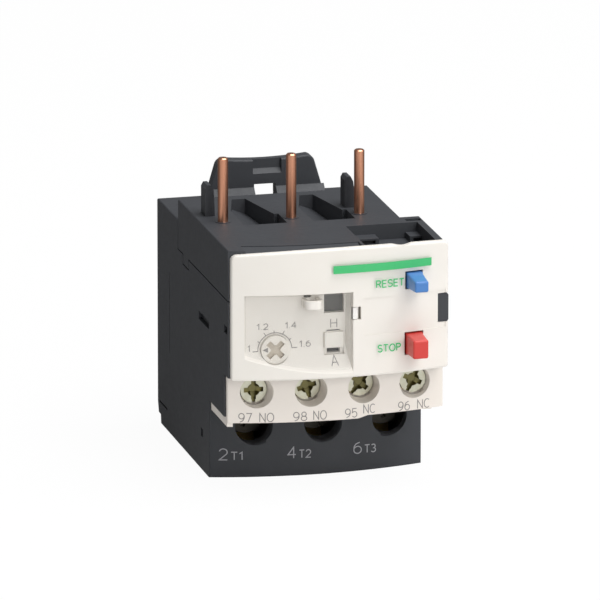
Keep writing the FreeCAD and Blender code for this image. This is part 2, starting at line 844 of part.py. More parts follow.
def front_cover():
    """The pale front plate with its pocket, button holes and pin bosses."""
    plate = bowed_block(0, cover_left, cover_width / 2, cover_front_y, cover_front_y + 8,
                        terminal_top - cover_lap, cover_top)
    crown = rod_y(cover_crown_radius, cover_crown_middle, cover_top - cover_crown_radius,
                  cover_front_y - 1, cover_front_y + 9)
    plate = plate.common(crown)
    plate = rounded(plate, cover_corner, lambda e: lies_along(e, Vector(0, 1, 0))
                    and e.BoundBox.ZMin > seam_height)
    plate = rounded(plate, cover_lower_corner, lambda e: lies_along(e, Vector(0, 1, 0))
                    and e.BoundBox.ZMax < seam_height)
    plate = rounded(plate, cover_edge_round, lambda e: on_bow(e, 0, cover_front_y))
    core = bowed_block(0, -cover_width / 2 - 1, cover_width / 2 + 1, cover_rear_y,
                       cover_front_y + 9, terminal_top - 1, body_height + 2)
    plate = plate.cut(core)
    floor_y = pocket_floor_y
    shell = bowed_block(0, pocket_left - pocket_shell, hinge_x + 1.4, cover_rear_y - 0.2,
                        floor_y + pocket_shell, terminal_top + pocket_shell_rise,
                        pocket_top + pocket_shell)
    plate = plate.fuse(shell)
    groove = box(hinge_x - 0.9, hinge_x + hinge_groove_right, cover_front_y - 1, hinge_y + 0.85,
                 hinge_bottom - hinge_groove_gap, hinge_bottom + hinge_length + hinge_groove_gap)
    pin_hole = rod_z(hinge_pin_radius + running_fit, hinge_x, hinge_y,
                     hinge_bottom - hinge_pin_length - hinge_groove_gap,
                     hinge_bottom + hinge_length + hinge_pin_length + hinge_groove_gap)
    window = box(window_left, window_right, cover_front_y - 1, floor_y + 3, window_bottom, pocket_top)
    slot_bottom = slider_slot_top - slider_stem_height - slider_travel - 2 * running_fit
    slider_slot = box(slider_x - slider_stem_width / 2 - running_fit,
                      slider_x + slider_stem_width / 2 + running_fit, floor_y - 1, floor_y + 3,
                      slot_bottom - slider_slot_spare, slider_slot_top)
    cap_room = block(slider_x, slider_cap_width + 0.3, cover_front_y - 1, floor_y,
                     slider_cap_bottom + slider_cap_height / 2 - slider_travel / 2,
                     slider_cap_height + slider_travel + 0.3)
    dial_hole = rod_y(dial_radius + dial_gap, dial_x, dial_height, cover_front_y - 1, floor_y + 3)
    reset_hole = block(button_x, reset_width + 2 * button_gap, cover_front_y - 1, cover_rear_y + 4,
                       reset_height, reset_section_height + 2 * button_gap)
    stop_hole = block(button_x, stop_width + 2 * button_gap, cover_front_y - 1, cover_rear_y + 4,
                      stop_height, stop_section_height + 2 * button_gap)
    arch_x = control_centres[3] - 0.3
    arch = swell(arch_x, arch_half_width, arch_rise, terminal_top - cover_lap, cover_front_y - 1,
                 cover_front_y + 9)
    web = bowed_block(0, arch_x - arch_half_width, arch_x + arch_half_width, cover_front_y + arch_depth,
                      cover_front_y + 8, terminal_top, terminal_top + arch_rise + 0.5).cut(core)
    dip = swell(dip_x, dip_half_width, -dip_depth - dip_lift, cover_top + dip_lift / 2, cover_front_y - 1,
                cover_front_y + 9)
    tab_notch = box(body_right - cheek_wall - side_tab_gap, cover_width / 2 + 1, cover_front_y - 1,
                    cover_front_y + 9, side_tab_bottom - side_tab_gap, side_tab_top + side_tab_gap)
    eye_slot = block(seal_loop_x - 0.6, 1.5, floor_y - 1, floor_y + 3, seal_loop_height + 1.0, 0.7)
    cuts = [tab_notch, pocket_volume(0, 0), groove, pin_hole, window, slider_slot, cap_room, dial_hole,
            reset_hole, stop_hole, arch, dip, eye_slot]
    label = bowed_block(0, label_left, cover_width / 2 - label_margin, cover_front_y - 0.5,
                        cover_front_y + 9, label_bottom, label_top)
    label_core = bowed_block(0, label_left - 1, cover_width / 2, cover_front_y + label_depth,
                             cover_front_y + 10, label_bottom - 1, label_top + 1)
    cuts.append(label.cut(label_core))
    plate = without(plate, cuts)
    return joined([plate, seal_loop(), web])


def seal_loop():
    """The small loop on the pocket floor that a sealing wire passes through."""
    floor_y = pocket_floor_y
    tip_y = floor_y - seal_loop_reach
    outer = block(seal_loop_x, seal_loop_width, tip_y, floor_y + 0.3, seal_loop_height,
                  seal_loop_section)
    left, right = seal_loop_x - seal_loop_width / 2, seal_loop_x + seal_loop_width / 2
    outer = rounded(outer, seal_loop_round, lambda e: upright_at(e, [(left, tip_y), (right, tip_y)]))
    eye = block(seal_loop_x, seal_loop_width - 2 * seal_loop_band, tip_y + seal_loop_band,
                floor_y, seal_loop_height, seal_loop_section + 2)
    return outer.cut(eye)


def setting_flap():
    """The clear flap that closes the setting pocket, with its hinge barrel and pins."""
    floor_y = pocket_floor_y
    skin = bowed_block(0, pocket_left, hinge_x - hinge_edge_gap, cover_front_y, floor_y, 20,
                       body_height)
    behind = bowed_block(0, pocket_left - 1, hinge_x + 1, cover_front_y + flap_thickness,
                         floor_y + 1, 19, body_height + 1)
    skin = skin.cut(behind).common(pocket_volume(flap_gap, flap_foot_gap))
    barrel = rod_z(hinge_radius, hinge_x, hinge_y, hinge_bottom, hinge_bottom + hinge_length)
    pin = rod_z(hinge_pin_radius, hinge_x, hinge_y, hinge_bottom - hinge_pin_length,
                hinge_bottom + hinge_length + hinge_pin_length)
    web_y = bow_y(cover_front_y, 0, hinge_x) + 0.1
    web = box(hinge_x - hinge_edge_gap - 0.4, hinge_x, web_y, web_y + flap_thickness - 0.1,
              hinge_bottom, hinge_bottom + hinge_length)
    flap = joined([skin, barrel, pin, web])
    tip_y = floor_y - seal_loop_reach
    loop_room = block(seal_loop_x, seal_loop_width + 2 * flap_gap, tip_y - 1, floor_y,
                      seal_loop_height, seal_loop_section + 2 * flap_gap)
    return flap.cut(loop_room)


def push_button(width, height, tip_width, tip_height, tip_y, z):
    """A tapered button with a flange behind the cover and a round stem."""
    shoulder_y = cover_front_y + 0.6
    base = rectangle(button_x, z, width, height, shoulder_y)
    tip = rectangle(button_x, z, tip_width, tip_height, tip_y)
    head = Part.makeLoft([tip, base], True, True)
    head = rounded(head, button_round, lambda e: e.BoundBox.YMin < shoulder_y - 0.5)
    shank = block(button_x, width, shoulder_y, flange_y, z, height)
    flange = block(button_x, width + 2 * button_flange, flange_y, flange_y + button_flange_thickness, z,
                   height + 2 * button_flange)
    stem = rod_y(button_stem_radius, button_x, z, flange_y + button_flange_thickness,
                 guide_y + button_guide_wall + 0.8)
    return joined([head, shank, flange, stem])


def rectangle(x, z, width, height, y):
    half_w, half_h = width / 2, height / 2
    points = [Vector(x - half_w, y, z - half_h), Vector(x + half_w, y, z - half_h),
              Vector(x + half_w, y, z + half_h), Vector(x - half_w, y, z + half_h)]
    return Part.makePolygon(points + [points[0]])


def button_spring(z):
    return coil_y(button_spring_radius, button_spring_wire, button_x, z, spring_y, guide_y,
                  button_spring_turns)


def setting_dial():
    """The round dial with its cross recess, shaft and rear journal."""
    face_y = dial_face_y
    disc = rod_y(dial_radius, dial_x, dial_height, face_y, face_y + dial_thickness)
    shaft_end = dial_bearing_y() + dial_bearing_wall
    shaft = rod_y(dial_shaft_radius, dial_x, dial_height, face_y + dial_thickness, shaft_end)
    disc = disc.fuse(shaft)
    for angle in (45, 135):
        slot = block(dial_x, dial_cross_length, face_y - 1, face_y + dial_cross_depth, dial_height,
                     dial_cross_width)
        slot.rotate(Vector(dial_x, 0, dial_height), Vector(0, 1, 0), angle)
        disc = disc.cut(slot)
    return disc.cut(rod_y(dial_cross_centre, dial_x, dial_height, face_y - 1,
                          face_y + dial_cross_depth))


def setting_cam():
    """The eccentric pressed on the dial's shaft that shifts the trip point."""
    y0 = cam_y
    cam = rod_y(cam_radius, dial_x + cam_eccentricity, dial_height, y0, y0 + cam_thickness)
    return cam.cut(rod_y(dial_shaft_radius, dial_x, dial_height, y0 - 1, y0 + cam_thickness + 1))


def mode_slider():
    """The slider that chooses hand or automatic reset."""
    floor_y = pocket_floor_y
    cap_middle = slider_cap_bottom + slider_cap_height / 2
    cap = block(slider_x, slider_cap_width, floor_y - slider_cap_rise, floor_y - 0.02, cap_middle,
                slider_cap_height)
    cap = rounded(cap, slider_cap_round,
                  lambda e: all(v.Point.y < floor_y - slider_cap_rise + 0.01 for v in e.Vertexes))
    stem_top = slider_slot_top - running_fit - 0.15
    keeper_y = shell_rear_y + running_fit
    stem = box(slider_x - slider_stem_width / 2, slider_x + slider_stem_width / 2, floor_y - 0.1,
               keeper_y, stem_top - slider_stem_height, stem_top)
    keeper = block(slider_x, slider_stem_width + 1.6, keeper_y, keeper_y + slider_keeper_thickness,
                   stem_top - slider_stem_height / 2, slider_stem_height + 1.0)
    return joined([cap, stem, keeper])


def terminal_block():
    """The pale block that carries the four control terminals."""
    cheek_y = terminal_cheek_y()
    front = bowed_block(0, cover_left, cover_width / 2 - 0.1, terminal_front_y, cheek_y,
                        terminal_bottom, terminal_top)
    front = rounded(front, edge_round, lambda e: on_bow(e, 0, terminal_front_y)
                    and (lies_along(e, Vector(0, 0, 1)) or at_height(e, terminal_bottom)))
    core = box(body_left + cheek_wall, body_right - cheek_wall, cheek_y, 0, terminal_bottom,
               terminal_top)
    left_rib = bowed_block(0, cover_left, cover_left + terminal_rib_width, terminal_front_y + 0.2, 0,
                           terminal_bottom - terminal_rib_drop, terminal_bottom + cheek_wall)
    shape = joined([front, core, left_rib])
    case_front = bowed_block(body_middle, body_left - 1, body_right + 1, lower_front_y, rear_y, 0,
                             terminal_top)
    step_height = terminal_bottom + terminal_step_rise
    step = [(terminal_step_left, terminal_bottom), (terminal_step_right, step_height),
            (cover_width, step_height), (cover_width, terminal_bottom - 1),
            (terminal_step_left, terminal_bottom - 1)]
    cuts = [case_front, front_prism(step, terminal_front_y - 1, cheek_y)]
    floor_y = well_floor_y()
    tail_y0, tail_y1 = tail_span()
    for x in control_centres:
        cuts.append(screw_well(x))
        half = strip_plate_width / 2
        cuts.append(box(x - half, x + half, floor_y - 0.01, floor_y + strip_thickness,
                        control_height - half, terminal_top + 1))
        cuts.append(box(x - strip_tail_width / 2, x + strip_tail_width / 2, floor_y, tail_y1,
                        terminal_top - strip_thickness - 0.6, terminal_top + 1))
        cuts.append(rod_y(control_screw_radius + 0.3, x, control_height, floor_y, floor_y + 6.5))
        wire_y0 = floor_y - 3.2
        cuts.append(box(x - 2.2, x + 2.2, wire_y0, floor_y, terminal_bottom - 1, control_height - 2))
    return without(shape, cuts)


def screw_well(x):
    """The well of one control screw: it narrows towards the head and is plain behind it."""
    mouth_y = bow_y(terminal_front_y, 0, x)
    neck_y = terminal_front_y + control_head_recess
    slope = (well_radius - well_neck_radius) / (neck_y - mouth_y)
    funnel = Part.makeCone(well_radius + slope, well_neck_radius, neck_y - mouth_y + 1,
                           Vector(x, mouth_y - 1, control_height), Vector(0, 1, 0))
    return funnel.fuse(rod_y(well_neck_radius, x, control_height, neck_y, well_floor_y()))


def well_floor_y():
    """The floor of the screw wells, which the contact strips lie on."""
    return terminal_front_y + control_head_recess + control_head_height + control_washer_thickness


def contact_strip(x, side, pad_height):
    """A terminal strip: plate under the screw, link, upright tail and contact pad."""
    floor_y = well_floor_y()
    half = strip_plate_width / 2
    tail_y0, tail_y1 = tail_span()
    tail = strip_tail_width / 2
    plate = box(x - half, x + half, floor_y, floor_y + strip_thickness, control_height - half,
                terminal_top)
    link = box(x - tail, x + tail, floor_y, tail_y1, terminal_top - strip_thickness, terminal_top)
    upright = box(x - tail, x + tail, tail_y0, tail_y1, terminal_top - strip_thickness,
                  pad_height)
    inner = x + side * (control_pitch - pad_spacing) / 2
    pad = box(min(x - side * tail, inner), max(x - side * tail, inner), tail_y0, tail_y0 + bridge_width,
              pad_height - pad_thickness, pad_height)
    hole = rod_y(control_screw_radius + running_fit, x, control_height, floor_y - 1,
                 floor_y + strip_thickness + 1)
    return joined([plate, link, upright, pad]).cut(hole)


def terminal_screw(x, angle):
    """A control terminal screw with a cross and slot recess."""
    front_y = terminal_front_y + control_head_recess
    head = rod_y(control_head_radius, x, control_height, front_y, front_y + control_head_height)
    shank = rod_y(control_screw_radius, x, control_height, front_y + control_head_height,
                  front_y + control_head_height + control_screw_length)
    return without(head.fuse(shank), screw_recess(x, control_height, front_y, control_cross_length,
                                                  control_slot_length, angle))


def screw_recess(x, z, front_y, cross, slot, angle):
    """A cross recess with a wide middle on a full-width slot, turned by angle."""
    arms = [block(x, slot, front_y - 1, front_y + recess_slot_depth, z, recess_slot_width),
            block(x, cross, front_y - 1, front_y + recess_arm_depth, z, recess_arm_width),
            block(x, recess_arm_width, front_y - 1, front_y + recess_arm_depth, z, cross),
            Part.makeCone(recess_centre_radius, recess_centre_foot, 2.0,
                          Vector(x, front_y + recess_centre_depth - 2.0, z), Vector(0, 1, 0))]
    for arm in arms:
        arm.rotate(Vector(x, 0, z), Vector(0, 1, 0), angle)
    return arms


def terminal_washer(x):
    y0 = terminal_front_y + control_head_recess + control_head_height
    washer = rod_y(control_washer_radius, x, control_height, y0, y0 + control_washer_thickness)
    hole = rod_y(control_screw_radius + running_fit, x, control_height, y0 - 1, y0 + 2)
    return washer.cut(hole)


def power_screw(x, angle):
    head_y = power_head_y
    head = rod_y(power_head_radius, x, power_height, head_y, head_y + power_head_height)
    wire_y0, wire_y1 = power_wire_span()
    shank = rod_y(power_screw_radius, x, power_height, head_y + power_head_height,
                  wire_y1 + terminal_bar_thickness + 0.8)
    return without(head.fuse(shank), screw_recess(x, power_height, head_y, power_cross_length,
                                                  power_slot_length, angle))


def power_washer(x):
    wire_y0, wire_y1 = power_wire_span()
    plate = block(x, power_washer_width, wire_y0 - power_washer_thickness, wire_y0, power_height,
                  power_washer_width)
    return plate.cut(rod_y(power_screw_radius + running_fit, x, power_height, wire_y0 - 3, wire_y0 + 1))


def power_terminal(x):
    """The copper bar that a power wire is clamped to, with its foot under the bimetal."""
    wire_y0, wire_y1 = power_wire_span()
    half = terminal_bar_width / 2
    upright = box(x - half, x + half, wire_y1, wire_y1 + terminal_bar_thickness, floor_wall,
                  terminal_bar_height)
    foot = box(x - half, x + half - 2.4, wire_y1, bimetal_y + bimetal_width, floor_wall,
               floor_wall + terminal_bar_thickness)
    hole = rod_y(power_screw_radius + running_fit, x, power_height, wire_y1 - 1,
                 wire_y1 + terminal_bar_thickness + 1)
    return joined([upright, foot]).cut(hole)


def power_pin(x):
    """The round contactor pin with the strap that leads back to the heater."""
    pin = rod_z(pin_radius, x, pin_y, pin_shank_top, pin_top)
    shank = rod_z(pin_shank_radius, x, pin_y, pin_bottom, pin_shank_top)
    tip = Part.makeCone(pin_radius, pin_radius - pin_tip_chamfer, pin_tip_chamfer,
                        Vector(x, pin_y, pin_top - pin_tip_chamfer))
    outer = rod_z(pin_radius + 1, x, pin_y, pin_top - pin_tip_chamfer, pin_top + 1)
    pin = pin.cut(outer.cut(tip))
    strap = box(x - 0.9, x + 0.9, pin_y - 1.2, bimetal_y - 2, pin_bottom,
                pin_bottom + strap_thickness)
    return joined([pin, shank, strap])


def bimetal(x):
    """The upright bimetal strip of one pole, heated by its winding."""
    y = bimetal_y
    foot = floor_wall + terminal_bar_thickness + running_fit
    return box(x - bimetal_thickness / 2, x + bimetal_thickness / 2, y - bimetal_width / 2,
               y + bimetal_width / 2, foot, bimetal_top)


def insulation_sleeve(x):
    y = bimetal_y
    sleeve = box(x - sleeve_thickness / 2, x + sleeve_thickness / 2, y - sleeve_width / 2,
                 y + sleeve_width / 2, sleeve_bottom, sleeve_top)
    return sleeve.cut(box(x - bimetal_thickness / 2, x + bimetal_thickness / 2, y - bimetal_width / 2,
                          y + bimetal_width / 2, sleeve_bottom - 1, sleeve_top + 1))


def heater_winding(x):
    """The heater wire wound round the sleeve."""
    y = bimetal_y
    radius = math.hypot(sleeve_width / 2, sleeve_thickness / 2) + winding_wire
    return coil_z(radius, winding_wire, x, y, sleeve_bottom + 1, sleeve_top - 1, winding_turns)


def slide_bar(bar_y, side, lead):
    """A slide across the poles, with a finger before or after each bimetal."""
    left = pole_xs[0] - 3.6
    right = pole_xs[-1] + 3.0
    bar = box(left, right, bar_y - slide_width / 2, bar_y + slide_width / 2, slide_height,
              slide_height + slide_thickness)
    fingers = []
    reach_y = bimetal_y - side * slide_finger_gap / 2
    for x in pole_xs:
        middle = x + lead * (bimetal_thickness / 2 + slide_gap + slide_finger / 2)
        fingers.append(box(middle - slide_finger / 2, middle + slide_finger / 2, min(bar_y, reach_y),
                           max(bar_y, reach_y), slide_height, slide_height + slide_thickness))
    return joined([bar] + fingers)


def slide_places():
    """The Y of the front and rear slides, either side of the bimetals."""
    offset = bimetal_width / 2 + slide_width / 2 + 0.7
    return bimetal_y - offset, bimetal_y + offset


def differential_lever():
    """The lever that joins the two slides and pushes the release lever."""
    front_y, back_y = slide_places()
    z0 = slide_height + slide_thickness
    right = lever_x - lever_thickness / 2 - lever_gap
    plate = box(right - 3.0, right, front_y - slide_width / 2, back_y + slide_width / 2, z0,
                z0 + differential_thickness)
    lug_y = pivot_y + lever_rear_arm
    lug = box(right - 1.4, right, lug_y - 0.9, lug_y + 0.9, z0, lever_height + lever_section)
    return joined([plate, lug])


def release_lever():
    """The pivoted lever that carries the slides' push to the trip lever in the front room."""
    half = lever_thickness / 2
    z1 = lever_height + lever_section
    hub = rod_z(lever_hub_radius, lever_x, pivot_y, lever_height, z1)
    front_y = pivot_y - lever_front_arm
    arm = box(lever_x - half, lever_x + half, front_y - 0.8, pivot_y, lever_height, z1)
    clamp = box(lever_x - half, lever_x + half, pivot_y, pivot_y + 5, lever_height, z1)
    leg = box(lever_x - half, lever_x + half, front_y - 0.8, front_y + 0.8, lever_foot_height, z1)
    body = joined([hub, arm, clamp, leg])
    hole = rod_z(lever_pin_radius + running_fit, lever_x, pivot_y, lever_height - 1, z1 + 1)
    slot = box(lever_x - 0.3, lever_x + 0.3, pivot_y + 3.2, pivot_y + 6, lever_height - 1, z1 + 1)
    return without(body, [hole, slot])


def compensating_strip():
    """The bimetal that cancels the room's own warmth, held in the release lever."""
    end = box(lever_x - lever_thickness / 2, lever_x + lever_thickness / 2,
              pivot_y + lever_rear_arm - 1.4, pivot_y + lever_rear_arm + 1.4, lever_height,
              lever_height + lever_section)
    strip = box(lever_x - 0.3, lever_x + 0.3, pivot_y + 3.2, pivot_y + lever_rear_arm - 1.4,
                lever_height, lever_height + lever_section)
    return strip.fuse(end).removeSplitter()


def release_lever_pin():
    pin = rod_z(lever_pin_radius, lever_x, pivot_y, lever_height - 0.1, mechanism_ceiling + 1.5)
    head = rod_z(lever_pin_radius + 0.6, lever_x, pivot_y, lever_height - 0.8, lever_height - 0.1)
    return joined([pin, head])


def trip_lever():
    """The snap lever with a drive peg behind and a lifting arm to the right."""
    y0 = trip_y
    y1 = y0 + trip_plate
    hub = rod_y(trip_hub_radius, trip_x, trip_height, y0, y1)
    arm = box(trip_x, trip_x + 3.6, y0, y1, trip_height - 0.6, trip_height + 0.6)
    stalk = box(trip_x - 0.7, trip_x + 0.9, y0, y1, trip_height, flag_bottom)
    blank_left = window_left - blank_overlap
    blank_bottom = window_bottom - blank_margin_below + window_margin_below
    rail = box(blank_left, trip_x + 0.9, y0, y1, blank_bottom, flag_bottom)
    blank = box(blank_left, trip_x - flag_reach, y0, y0 + flag_thickness, blank_bottom,
                flag_bottom + flag_height + flag_window_margin)
    peg_x = trip_x + peg_offset
    peg_end = pivot_y - lever_front_arm + 0.6
    peg = rod_y(peg_radius, peg_x, trip_height + trip_arm, y1, peg_end)
    body = joined([hub, arm, stalk, rail, blank, peg])
    return body.cut(rod_y(trip_pin_radius + running_fit, trip_x, trip_height, y0 - 1, y1 + 1))


def trip_flag():
    """The coloured flag on the trip lever that swings behind the window."""
    left = trip_x - flag_reach
    return box(left, left + flag_width, trip_y, trip_y + flag_thickness, flag_bottom,
               flag_bottom + flag_height)


def trip_lever_pin():
    y0 = trip_y
    pin = rod_y(trip_pin_radius, trip_x, trip_height, y0 - 0.1, inner_front_y - 0.3)
    head = rod_y(trip_pin_radius + 0.5, trip_x, trip_height, y0 - 0.7, y0 - 0.1)
    return joined([pin, head])


def bridge_span():
    """The Y span of the moving bridges, over the pads of the contact strips."""
    tail_y0 = tail_span()[0]
    return tail_y0, tail_y0 + bridge_width


def bridge(x, z):
    y0, y1 = bridge_span()
    return box(x - bridge_length / 2, x + bridge_length / 2, y0, y1, z, z + bridge_thickness)


def open_bridge_x():
    return (control_centres[0] + control_centres[1]) / 2


def closed_bridge_x():
    return (control_centres[2] + control_centres[3]) / 2


def open_bridge_z():
    """Top of the open bridge's resting place, below its pads by the travel."""
    return open_pad_height - pad_thickness - contact_travel - running_fit - bridge_thickness


def closed_bridge_z():
    return closed_pad_height + running_fit


def contact_carrier():
    """The bar that lifts both bridges, with a lug over the trip lever's arm."""
    y0, y1 = bridge_span()
    bar_y0 = y0 - 0.6 - carrier_bar_thickness
    half = carrier_post_width / 2
    left, right = open_bridge_x(), closed_bridge_x()
    z1 = carrier_bar_bottom + carrier_bar_height
    bar = box(left - half, right + half, bar_y0, bar_y0 + carrier_bar_thickness, carrier_bar_bottom, z1)
    pieces = [bar]
    for x, z in ((left, open_bridge_z() + bridge_thickness),
                 (right, closed_bridge_z() + bridge_thickness)):
        pieces.append(box(x - half, x + half, bar_y0, y1 - 0.6, carrier_bar_bottom, z1))
        pieces.append(box(x - half, x + half, y0 + 0.4, y1 - 0.6, z, carrier_bar_bottom))
    lug_x = lever_x + lever_thickness / 2 + 0.3
    lug_bottom = trip_height + 0.6 + 0.35
    arm_y0 = trip_y
    pieces.append(box(lug_x, lug_x + carrier_lug_width, arm_y0, bar_y0, lug_bottom, lug_bottom + 1.3))
    pieces.append(box(lug_x, lug_x + carrier_lug_width, bar_y0 - 1, bar_y0 + 0.5, lug_bottom,
                      carrier_bar_bottom + 0.5))
    return joined(pieces)


def carrier_spring():
    """The spring between the carrier and the ceiling that keeps the control circuit closed."""
    y0 = bridge_span()[0] - 0.6 - carrier_bar_thickness / 2
    return coil_z(0.85, 0.16, open_bridge_x() + 4, y0, carrier_bar_bottom + carrier_bar_height,
                  mechanism_ceiling, 6)


save("base_housing", base_housing())
save("upper_housing", upper_housing())
save("front_cover", front_cover())
save("terminal_block", terminal_block())
save("setting_flap", setting_flap())
save("reset_button", push_button(reset_width, reset_section_height, reset_tip_width, reset_tip_height,
                                 cover_front_y - reset_proud, reset_height))
save("stop_button", push_button(stop_width, stop_section_height, stop_tip_width, stop_tip_height,
                                cover_front_y - stop_proud, stop_height))
save("reset_spring", button_spring(reset_height))
save("stop_spring", button_spring(stop_height))
save("setting_dial", setting_dial())
save("setting_cam", setting_cam())
save("mode_slider", mode_slider())
strips = zip(("97", "98", "95", "96"), control_centres, (1, -1, 1, -1))
for number, x, side in strips:
    pad = open_pad_height if number in ("97", "98") else closed_pad_height
    save("contact_strip_" + number, contact_strip(x, side, pad))
for i, (x, angle) in enumerate(zip(control_centres, (90, 75, -50, -65)), 1):
    save(f"terminal_screw_{i}", terminal_screw(x, angle))
    save(f"terminal_washer_{i}", terminal_washer(x))
for i, (x, angle) in enumerate(zip(power_xs, (20, 65, -15)), 1):
    save(f"power_screw_{i}", power_screw(x, angle))
    save(f"power_washer_{i}", power_washer(x))
    save(f"power_terminal_{i}", power_terminal(x))
for i, x in enumerate(pin_xs, 1):
    save(f"power_pin_{i}", power_pin(x))
for i, x in enumerate(pole_xs, 1):
    save(f"bimetal_{i}", bimetal(x))
    save(f"insulation_sleeve_{i}", insulation_sleeve(x))
    save(f"heater_winding_{i}", heater_winding(x))
slide_front_y, slide_rear_y = slide_places()
save("slide_bar_front", slide_bar(slide_front_y, 1, 1))
save("slide_bar_rear", slide_bar(slide_rear_y, -1, -1))
save("differential_lever", differential_lever())
save("release_lever", release_lever())
save("compensating_strip", compensating_strip())
save("release_lever_pin", release_lever_pin())
save("trip_lever", trip_lever())
save("trip_flag", trip_flag())
save("trip_lever_pin", trip_lever_pin())
save("contact_carrier", contact_carrier())
save("carrier_spring", carrier_spring())
save("open_bridge", bridge(open_bridge_x(), open_bridge_z()))
save("closed_bridge", bridge(closed_bridge_x(), closed_bridge_z()))
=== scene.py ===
"""Looks of a thermal overload relay: its case, cover, marks, screws and pins, in studio light."""

import math

import bpy
import numpy as np
from mathutils import Matrix, Vector


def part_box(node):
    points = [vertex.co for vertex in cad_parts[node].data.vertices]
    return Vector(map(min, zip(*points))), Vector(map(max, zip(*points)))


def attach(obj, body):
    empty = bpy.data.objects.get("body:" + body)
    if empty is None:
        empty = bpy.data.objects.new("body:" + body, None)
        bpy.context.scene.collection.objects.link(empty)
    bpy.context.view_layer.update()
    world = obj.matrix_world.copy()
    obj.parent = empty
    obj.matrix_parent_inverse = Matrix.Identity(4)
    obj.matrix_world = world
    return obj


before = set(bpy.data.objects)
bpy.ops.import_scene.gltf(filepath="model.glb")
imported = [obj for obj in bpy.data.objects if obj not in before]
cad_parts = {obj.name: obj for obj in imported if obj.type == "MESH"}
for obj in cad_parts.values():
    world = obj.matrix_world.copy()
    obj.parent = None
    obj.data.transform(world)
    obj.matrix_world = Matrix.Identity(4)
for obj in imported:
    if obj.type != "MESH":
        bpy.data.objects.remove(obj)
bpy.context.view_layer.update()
MM = 0.001


# Camera
# The photograph was taken from a little left of the front and a little above, with a long lens.
camera_azimuth = math.radians(14.09)
camera_elevation = math.radians(15.19)
camera_distance = 2112.4 * MM
camera_lens = 626.6
camera_centre = Vector((-0.394, 4.5425, 25.545)) * MM
aim_right = 0.265 * MM
aim_up = 6.10 * MM

across = Vector((math.cos(camera_azimuth), -math.sin(camera_azimuth), 0))
backward = Vector((-math.sin(camera_azimuth) * math.cos(camera_elevation),
                   -math.cos(camera_azimuth) * math.cos(camera_elevation),
                   math.sin(camera_elevation)))
upward = backward.cross(across)
camera = bpy.data.objects.new("camera", bpy.data.cameras.new("camera"))
camera.location = camera_centre + backward * camera_distance
aim = camera_centre + across * aim_right + upward * aim_up
camera.rotation_euler = (camera.location - aim).to_track_quat("Z", "Y").to_euler()
camera.data.lens = camera_lens
camera.data.sensor_width = 36
camera.data.clip_end = 50
bpy.context.scene.collection.objects.link(camera)
bpy.context.scene.camera = camera
bpy.context.scene.view_settings.view_transform = "Standard"


# Studio
# A white sweep, a large soft light above and a tall one before the front. The left side
# has no lamp of its own and stays dark.
def soft_light(name, place, target, width, height, power):
    """A rectangular lamp at place, turned to face target."""
    lamp = bpy.data.lights.new(name, "AREA")
    lamp.shape = "RECTANGLE"
    lamp.size = width
    lamp.size_y = height
    lamp.energy = power
    holder = bpy.data.objects.new(name, lamp)
    holder.location = place
    holder.rotation_euler = (Vector(place) - Vector(target)).to_track_quat("Z", "Y").to_euler()
    bpy.context.scene.collection.objects.link(holder)


object_middle = (0, 0, 0.03)
soft_light("top_light", (0.3, -0.2, 1.1), object_middle, 1.0, 1.0, 17.0)
soft_light("front_light", (0.35, -1.2, 0.5), object_middle, 0.7, 0.9, 6.5)

world = bpy.data.worlds.new("studio")
world.use_nodes = True
bpy.context.scene.world = world
world.node_tree.nodes["Background"].inputs["Color"].default_value = (1, 1, 1, 1)
world.node_tree.nodes["Background"].inputs["Strength"].default_value = 0.2


class Value:
    """A shader socket that takes part in plain arithmetic."""

    def __init__(self, finish, socket):
        self.finish = finish
        self.socket = socket

    def _with(self, operation, a, b):
        return self.finish.node("ShaderNodeMath", {"operation": operation}, {0: a, 1: b})

    def __add__(self, other):
        return self._with("ADD", self, other)

    def __mul__(self, other):
        return self._with("MULTIPLY", self, other)

    def __sub__(self, other):
        return self._with("SUBTRACT", self, other)

    def __rsub__(self, other):
        return self._with("SUBTRACT", other, self)

    def __gt__(self, other):
        return self._with("GREATER_THAN", self, other)

    __radd__ = __add__
    __rmul__ = __mul__


